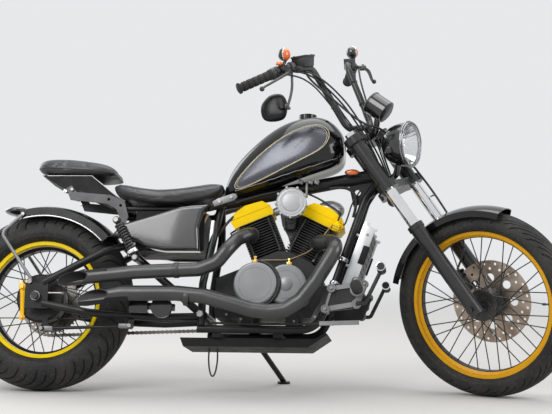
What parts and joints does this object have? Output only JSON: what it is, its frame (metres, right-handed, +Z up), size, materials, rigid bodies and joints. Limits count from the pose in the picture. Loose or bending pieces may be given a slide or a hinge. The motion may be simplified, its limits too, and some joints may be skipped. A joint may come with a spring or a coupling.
{
  "type": "motorcycle",
  "caption": "Low chopper motorcycle with raked fork, tall bar, teardrop tank, vee engine and slash-cut pipes, on its side stand.",
  "frame": {"origin": "middle of the footprint, on the ground", "axes": "+X forward along the chassis, +Y to the rider's left, +Z up; the machine leans left on its stand"},
  "size_m": [2.2318, 0.8372, 1.2779],
  "materials": {
    "tyre": "matte rubber",
    "rim_paint": "satin black with yellow lips",
    "hub_paint": "satin black",
    "chain_steel": "oiled steel",
    "disc_steel": "worn brownish steel",
    "fork_chrome": "polished chrome",
    "fork_paint": "satin black",
    "gloss_paint": "gloss black",
    "bar_paint": "satin black",
    "grip_rubber": "matte rubber",
    "grey_alloy": "machined grey",
    "signal_amber": "amber in black rims",
    "lamp_shell": "gloss black",
    "lamp_glass": "clear fluted glass",
    "frame_paint": "satin black",
    "brake_paint": "satin black",
    "yellow_paint": "bright yellow",
    "engine_paint": "satin black",
    "cover_paint": "satin grey",
    "bare_alloy": "brushed",
    "radiator_alloy": "bare core with black tanks",
    "pipe_black": "matte black",
    "seat_vinyl": "black vinyl",
    "tray_plastic": "matte black",
    "lamp_red": "dark red",
    "hose_rubber": "matte black"
  },
  "bodies": {
    "chassis": {"front_sprocket": "chain_steel", "chain": "chain_steel", "rear_axle": "chain_steel", "rear_fender": "gloss_paint", "fuel_tank": "gloss_paint", "side_covers": "gloss_paint", "foot_controls": "grey_alloy", "tail_brackets": "grey_alloy", "fender_stays": "grey_alloy", "frame": "frame_paint", "engine_cradle": "frame_paint", "swingarm": "frame_paint", "belly_pan": "frame_paint", "spring_strut": "frame_paint", "torque_rod": "frame_paint", "brake_panel": "brake_paint", "brake_arm": "yellow_paint", "rocker_covers": "yellow_paint", "crankcase": "engine_paint", "cylinders": "engine_paint", "engine_covers": "cover_paint", "air_cleaner": "bare_alloy", "radiator": "radiator_alloy", "exhaust_pipes": "pipe_black", "solo_seat": "seat_vinyl", "passenger_pad": "seat_vinyl", "tail_tray": "tray_plastic", "inner_box": "tray_plastic", "tail_lamp": "lamp_red", "drain_hose": "hose_rubber"},
    "steering": {"fork_tubes": "fork_chrome", "fork_sliders": "fork_paint", "fork_covers": "fork_paint", "fork_clamps": "fork_paint", "front_fender": "gloss_paint", "handlebar": "bar_paint", "grips": "grip_rubber", "hand_controls": "grey_alloy", "mirror": "gloss_paint", "turn_signals": "signal_amber", "headlight": "lamp_shell", "headlight_lens": "lamp_glass", "instrument": "lamp_shell", "brake_caliper": "fork_paint", "brake_hose": "hose_rubber"},
    "front_wheel": {"front_tyre": "tyre", "front_rim": "rim_paint", "front_hub": "hub_paint", "front_disc": "disc_steel"},
    "rear_wheel": {"rear_tyre": "tyre", "rear_rim": "rim_paint", "rear_hub": "hub_paint", "rear_sprocket": "chain_steel"},
    "side_stand": {"side_stand": "frame_paint"}
  },
  "joints": [
    {"name": "rear_wheel_spin", "type": "hinge", "parent": "chassis", "child": "rear_wheel", "pos_m": [-0.78956, -0.16309, 0.32073], "axis": [0, 0.9763, -0.2164], "continuous": true},
    {"name": "steering_turn", "type": "hinge", "parent": "chassis", "child": "steering", "pos_m": [0.40399, -0.05663, 0.80095], "axis": [-0.575, 0.1771, 0.7987], "range_deg": [-8.2, 67.8]},
    {"name": "front_wheel_spin", "type": "hinge", "parent": "steering", "child": "front_wheel", "pos_m": [0.80916, -0.19059, 0.32984], "axis": [0.4066, 0.909, 0.0912], "continuous": true},
    {"name": "side_stand_fold", "type": "hinge", "parent": "chassis", "child": "side_stand", "pos_m": [-0.01431, -0.05457, 0.15417], "axis": [-0.0014, 0.7706, 0.6374], "range_deg": [0, 103]}
  ]
}
